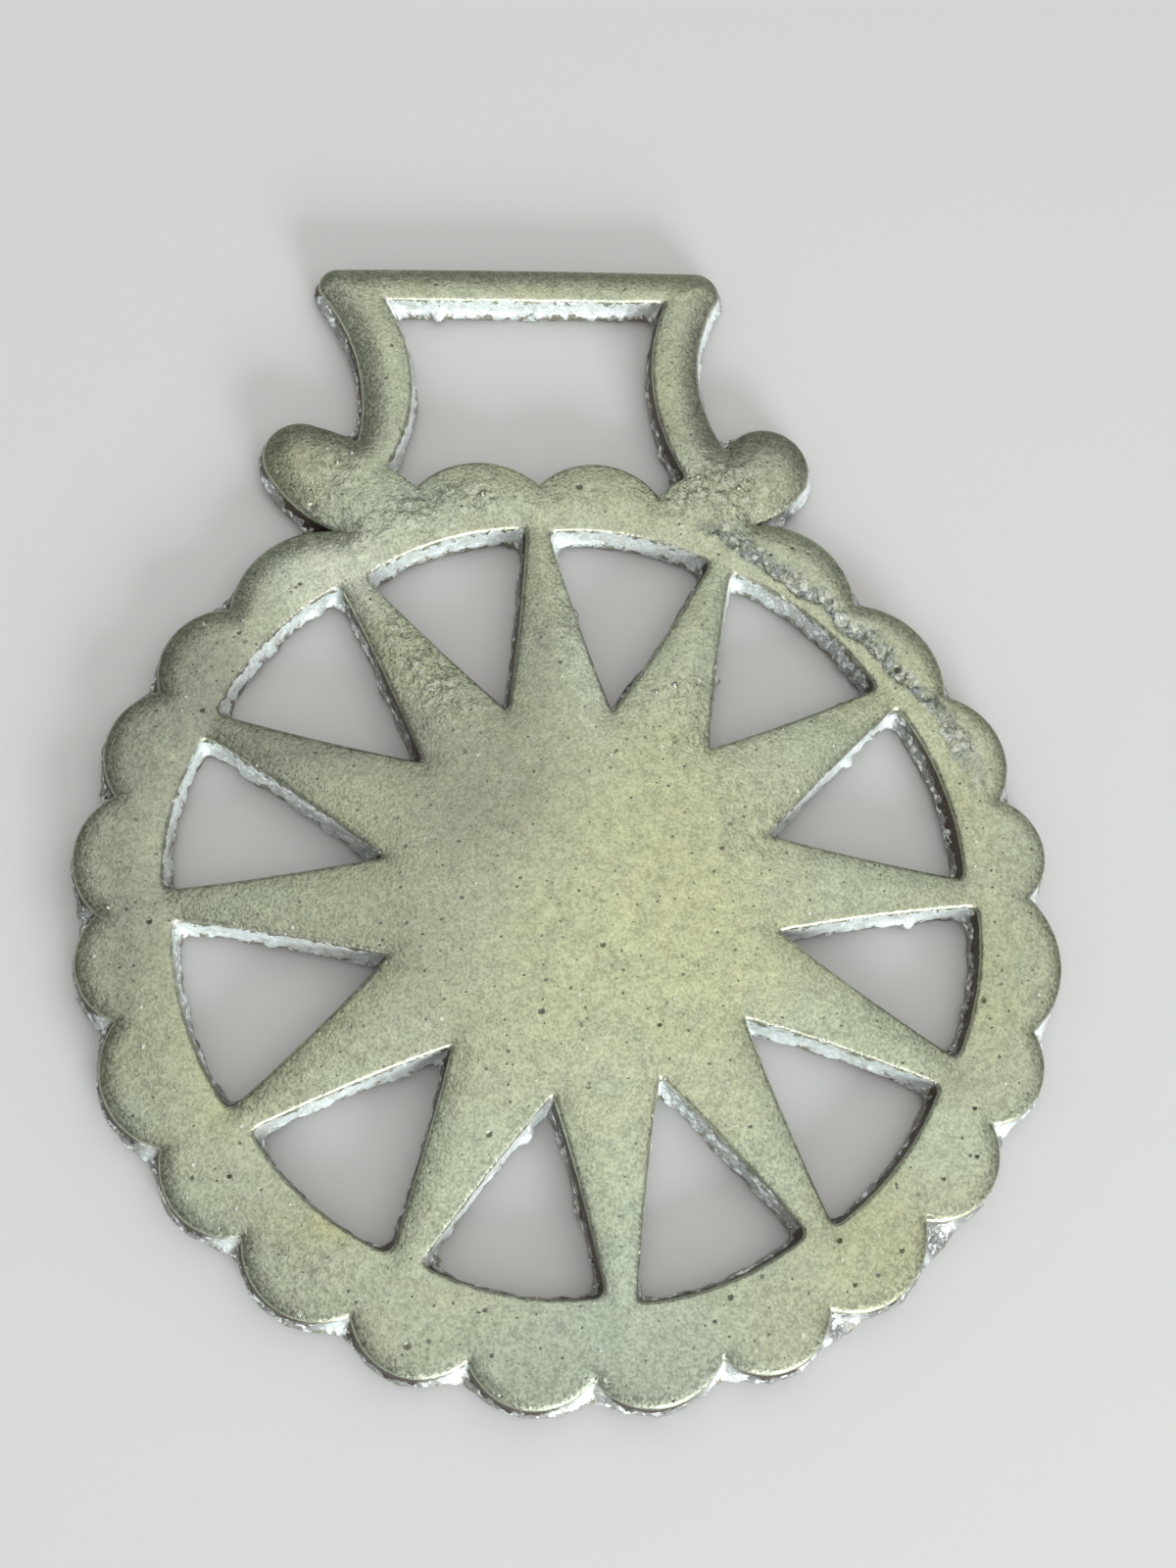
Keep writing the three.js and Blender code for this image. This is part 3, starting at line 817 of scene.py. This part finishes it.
patina = {  # colours of the brass, its tarnish and its cast skin, some also laid on as painted shade, sheen and highlights
    "warm": (0.50, 0.53, 0.365, 1),
    "cool": (0.46, 0.545, 0.44, 1),
    # tarnish, and painted shade over the upper left of the face
    "brown": (0.325, 0.34, 0.265, 1),
    "yellow": (0.49, 0.48, 0.27, 1),
    # polish, and a painted sheen over the middle of the face
    "polishAndSheen": (0.56, 0.575, 0.345, 1),
    "pale": (0.66, 0.70, 0.58, 1),
    # light specks, and painted highlights on cast-skin beads and in the seam
    "light": (0.88, 0.9, 0.8, 1),
    "pit": (0.05, 0.042, 0.03, 1),
    # dark oxide of the walls, laid on more thickly as painted shade where they face away from the low light
    "oxideAndShade": (0.125, 0.105, 0.085, 1),
    # rough cast skin of the walls, near white as a painted sheen
    "castSkinAndSheen": (0.82, 0.88, 0.87, 1),
    # dark cells on the webs, and painted shade on walls facing away from the low light
    "drossAndShade": (0.20, 0.21, 0.20, 1),
    "tan": (0.46, 0.44, 0.32, 1),
    # dull brass at the back of the walls, darker as painted shade
    "under": (0.25, 0.235, 0.18, 1),
    # the worn front edge, lightened further as a painted highlight where it faces the low light
    "edge": (0.66, 0.66, 0.53, 1),
    "gouge": (0.27, 0.31, 0.31, 1),
}

finish = {  # sizes in millimetres
    "patchSize": 12,
    "cloudSize": 2.2,
    "mottleSize": 0.85,
    "grainSize": 0.26,
    "facetSize": 0.5,
    "wanderSize": 0.35,  # pushes holes, specks and facets out of shape
    "holeWander": 0.25,
    "facetWander": 0.5,
    "crackStep": (0.16, 0.05),  # distance from a crack, to the facets' size
    "holeStep": (1.2, 0.5),  # soft edge of holes and specks, to their radius
    "smallHoles": (1.5, 0.05, 0.12, 0.42),  # spacing, smallest and largest radius, share left out
    "largeHoles": (4.1, 0.08, 0.19, 0.3),
    "specks": (3.6, 0.06, 0.17, 0.5),
    "speckPaint": 0.75,
    "coolPatch": 0.4,  # how much of the cool colour the large patches and the painted areas give
    "coolPaint": 0.7,
    "mottleDapple": (-0.1, 0.1),  # how much darker and lighter each pattern makes the metal
    "grainDapple": (-0.25, 0.22),
    "cloudDapple": (-0.05, 0.05),
    "skinDapple": 0.4,  # how much more so on cast skin
    "skinGlint": 0.36,
    "tanShare": 0.35,  # how strongly each colour lies on the cast skin of the walls
    "drossShare": 0.9,
    "crackShare": 0.6,
    "roughness": (0.36, 0.5),
    "oxideRoughness": 0.08,
    "holeMetal": 0.8,  # what holes and rough walls take off the metallic value
    "castMetal": 0.3,
    "mottleBump": 0.2,  # shares of the bump's depth
    "grainBump": 0.3,
    "holeBump": 0.3,
    "speckBump": 0.15,
    "roughBump": 1.5,  # how much more there is on cast skin and on walls
    "bumpDepth": 0.15,
}


def brassMaterial():
    # the face is brass with tarnish, painted shade and painted highlights over it; the walls go through a
    # worn edge with a painted highlight, a band of oxide with painted shade and rough cast skin with a
    # painted sheen to plain dull brass, darkened as painted shade, at the back
    material = bpy.data.materials.new("tarnishedBrass")
    material.use_nodes = True
    tree = material.node_tree
    shader = tree.nodes["Principled BSDF"]

    def link(value, socket):
        # a number is set on the socket, anything else is joined to it
        if isinstance(value, bpy.types.NodeSocket):
            tree.links.new(value, socket)
        else:
            socket.default_value = value

    def noise(size, detail, strength=0.5, twist=0.0):
        # layered noise from 0 to 1 whose largest lumps are about size millimetres
        node = tree.nodes.new("ShaderNodeTexNoise")
        tree.links.new(coordinates, node.inputs["Vector"])
        node.inputs["Scale"].default_value = 1 / (size * mm)
        node.inputs["Detail"].default_value = detail
        node.inputs["Roughness"].default_value = strength
        node.inputs["Distortion"].default_value = twist
        return node.outputs["Fac"]

    def fade(value, low, high, start=0.0, end=1.0):
        # smooth step from start to end as the value goes from low to high
        node = tree.nodes.new("ShaderNodeMapRange")
        node.interpolation_type = "SMOOTHSTEP"
        for name, number in (("Value", value), ("From Min", low), ("From Max", high),
                             ("To Min", start), ("To Max", end)):
            link(number, node.inputs[name])
        return node.outputs["Result"]

    def combine(operation, *values):
        # one step of arithmetic
        node = tree.nodes.new("ShaderNodeMath")
        node.operation = operation
        for value, socket in zip(values, node.inputs):
            link(value, socket)
        return node.outputs["Value"]

    def blend(factor, under, over, kind="MIX"):
        # one colour laid over another by a factor from 0 to 1
        node = tree.nodes.new("ShaderNodeMix")
        node.data_type, node.blend_type = "RGBA", kind
        for value, socket in ((factor, node.inputs[0]), (under, node.inputs[6]), (over, node.inputs[7])):
            link(value, socket)
        return node.outputs[2]

    def wandering(amount):
        # the coordinates, pushed about by up to an amount in millimetres
        push = tree.nodes.new("ShaderNodeTexNoise")
        push.inputs["Scale"].default_value = 1 / (finish["wanderSize"] * mm)
        tree.links.new(coordinates, push.inputs["Vector"])
        shift = tree.nodes.new("ShaderNodeVectorMath")
        shift.operation = "MULTIPLY_ADD"
        tree.links.new(push.outputs["Color"], shift.inputs[0])
        shift.inputs[1].default_value = (amount * mm,) * 3
        tree.links.new(coordinates, shift.inputs[2])
        return shift.outputs[0]

    def spots(spacing, smallest, largest, rareness):
        # round spots, one at most to each cell of a scattered grid; rareness is the share left out
        node = tree.nodes.new("ShaderNodeTexVoronoi")
        node.voronoi_dimensions = "2D"
        tree.links.new(wandering(finish["holeWander"]), node.inputs["Vector"])
        node.inputs["Scale"].default_value = 1 / (spacing * mm)
        parts = tree.nodes.new("ShaderNodeSeparateColor")
        tree.links.new(node.outputs["Color"], parts.inputs[0])
        size = fade(parts.outputs[0], rareness, 1.0, 0.0, largest / spacing)
        keep = combine("GREATER_THAN", parts.outputs[0], rareness)
        inner = combine("MAXIMUM", size, smallest / spacing)
        near = combine("DIVIDE", node.outputs["Distance"], inner)
        return combine("MULTIPLY", keep, fade(near, *finish["holeStep"]))

    def facets(size):
        # a brightness for each of many small cells, and 1 in the cracks between them
        cells, cracks = [tree.nodes.new("ShaderNodeTexVoronoi") for _ in range(2)]
        cracks.feature = "DISTANCE_TO_EDGE"
        for node in (cells, cracks):
            tree.links.new(wandering(finish["facetWander"]), node.inputs["Vector"])
            node.inputs["Scale"].default_value = 1 / (size * mm)
        parts = tree.nodes.new("ShaderNodeSeparateColor")
        tree.links.new(cells.outputs["Color"], parts.inputs[0])
        return parts.outputs[0], fade(cracks.outputs["Distance"], *finish["crackStep"])

    def painted(name):
        # a value stored on the mesh's points
        node = tree.nodes.new("ShaderNodeAttribute")
        node.attribute_name = name
        return node.outputs["Fac"]

    coordinates = tree.nodes.new("ShaderNodeTexCoord").outputs["Object"]
    wall, paintedShade, skin, flaw = [painted(name) for name in ("wall", "paintedShade", "castSkin", "flaw")]
    patch, cloud = noise(finish["patchSize"], 3), noise(finish["cloudSize"], 3)
    mottle, grain = noise(finish["mottleSize"], 3, 0.6, 0.4), noise(finish["grainSize"], 2, 0.6, 0.3)
    glint, crack = facets(finish["facetSize"])
    holes = combine("MAXIMUM", spots(*finish["smallHoles"]), spots(*finish["largeHoles"]))
    holes = combine("MAXIMUM", holes, painted("pit"))
    specks = combine("MAXIMUM", spots(*finish["specks"]), painted("bead"))
    skin = combine("MAXIMUM", skin, flaw)

    # tarnish on the face, with painted shade, a painted sheen and painted highlights
    cooled = fade(patch, 0.35, 0.65, 0.0, finish["coolPatch"])
    coolness = combine("ADD", cooled, combine("MULTIPLY", painted("cool"), finish["coolPaint"]))
    colour = blend(coolness, patina["warm"], patina["cool"])
    # tarnish with painted shade, polish with a painted sheen, pale patches and yellow stains
    for layer, tone in (("tarnishAndShade", "brown"), ("polishAndSheen", "polishAndSheen"), ("pale", "pale"), ("stain", "yellow")):
        colour = blend(combine("MULTIPLY", painted(layer), fade(cloud, 0.05, 0.6)), colour, patina[tone])
    colour = blend(combine("MULTIPLY", flaw, fade(mottle, 0.3, 0.6, 0.1, 0.9)), colour, patina["gouge"])
    contrast = combine("ADD", 1.0, combine("MULTIPLY", skin, finish["skinDapple"]))
    coarse = fade(mottle, 0.3, 0.7, *finish["mottleDapple"])
    dapple = combine("ADD", coarse, fade(grain, 0.32, 0.68, *finish["grainDapple"]))
    dapple = combine("ADD", dapple, fade(cloud, 0.3, 0.7, *finish["cloudDapple"]))
    dapple = combine("ADD", 1.0, combine("MULTIPLY", dapple, contrast))
    shade = tree.nodes.new("ShaderNodeCombineColor")
    for socket in shade.inputs[:3]:
        tree.links.new(dapple, socket)
    colour = blend(1.0, colour, shade.outputs[0], "MULTIPLY")
    # painted highlights: light glints on the beads of the cast skin and in the seam, then light specks and
    # beads
    bright = combine("MAXIMUM", combine("MULTIPLY", flaw, 2.0), skin)
    glints = combine("MULTIPLY", bright, fade(glint, 0.76, 0.88, 0.0, finish["skinGlint"]))
    lit = combine("MAXIMUM", glints, combine("MULTIPLY", specks, finish["speckPaint"]))
    colour = blend(lit, colour, patina["light"])
    colour = blend(combine("MULTIPLY", holes, fade(cloud, 0.3, 0.7, 0.75, 1.0)), colour, patina["pit"])

    # the worn edge with a painted highlight, then the oxide with painted shade, the cast skin with a painted
    # sheen and the dull brass of the walls, darkened as painted shade
    wornEdgeAndSheen = combine("MULTIPLY", fade(wall, 0.015, 0.08), fade(wall, 0.32, 0.22))
    # painted highlight: the worn edge is lighter where it faces the low light
    wornEdgeAndSheen = combine("MULTIPLY", wornEdgeAndSheen, fade(paintedShade, -0.9, 0.1, 1.0, 0.35))
    colour = blend(combine("MULTIPLY", wornEdgeAndSheen, fade(mottle, 0.3, 0.65, 0.3, 1.0)), colour, patina["edge"])
    ragged = combine("ADD", fade(grain, 0.3, 0.7, -0.05, 0.05), fade(mottle, 0.3, 0.7, -0.14, 0.14))
    oxideAndShade = fade(combine("ADD", wall, combine("MULTIPLY", ragged, 0.25)), 0.26, 0.34)
    # painted shade: more oxide on walls facing away from the low light
    oxideAndShade = combine("MULTIPLY", oxideAndShade, fade(paintedShade, -0.5, 0.2, 0.2, 1.0))
    colour = blend(oxideAndShade, colour, patina["oxideAndShade"])
    deep = combine("ADD", wall, ragged)
    # painted sheen: walls that face the low light show more of the near-white cast skin
    rough = fade(combine("SUBTRACT", deep, fade(paintedShade, -0.4, 0.4, -0.28, 0.05)), 0.56, 0.66)
    # painted shade: walls facing away from the low light get more dark cells and cracks
    brokenAndShaded = combine("MAXIMUM", painted("web"), fade(paintedShade, -0.8, 0.1, 0.15, 0.9))
    browned = combine("ADD", mottle, combine("MULTIPLY", cloud, 0.5))
    castSkinAndSheen = blend(fade(browned, 0.76, 0.84, 0.0, finish["tanShare"]), patina["castSkinAndSheen"], patina["tan"])
    drossAndShadeCells = combine("MULTIPLY", brokenAndShaded, fade(glint, 0.2, 0.5, 0.0, finish["drossShare"]))
    castSkinAndSheen = blend(drossAndShadeCells, castSkinAndSheen, patina["drossAndShade"])
    cracked = combine("MULTIPLY", brokenAndShaded, combine("MULTIPLY", crack, finish["crackShare"]))
    castSkinAndSheen = blend(cracked, castSkinAndSheen, patina["oxideAndShade"])
    colour = blend(rough, colour, castSkinAndSheen)
    # painted shade: the walls darken towards the back
    colour = blend(fade(deep, 0.8, 0.92), colour, patina["under"])
    tree.links.new(colour, shader.inputs["Base Color"])

    dull = fade(grain, 0.25, 0.75, *finish["roughness"])
    dull = combine("ADD", dull, combine("MULTIPLY", oxideAndShade, finish["oxideRoughness"]))
    tree.links.new(dull, shader.inputs["Roughness"])
    bare = combine("SUBTRACT", 1.0, combine("MULTIPLY", holes, finish["holeMetal"]))
    bare = combine("SUBTRACT", bare, combine("MULTIPLY", rough, finish["castMetal"]))
    tree.links.new(bare, shader.inputs["Metallic"])

    coarse = combine("MULTIPLY", mottle, finish["mottleBump"])
    height = combine("ADD", coarse, combine("MULTIPLY", grain, finish["grainBump"]))
    for area in (skin, wall):
        more = combine("MULTIPLY", area, finish["roughBump"])
        height = combine("MULTIPLY", height, combine("ADD", 1.0, more))
    height = combine("SUBTRACT", height, combine("MULTIPLY", holes, finish["holeBump"]))
    height = combine("ADD", height, combine("MULTIPLY", specks, finish["speckBump"]))
    bump = tree.nodes.new("ShaderNodeBump")
    bump.inputs["Strength"].default_value = 1.0
    bump.inputs["Distance"].default_value = finish["bumpDepth"] * mm
    tree.links.new(height, bump.inputs["Height"])
    tree.links.new(bump.outputs[0], shader.inputs["Normal"])
    return material


brass.data.materials.append(brassMaterial())
print("material made")
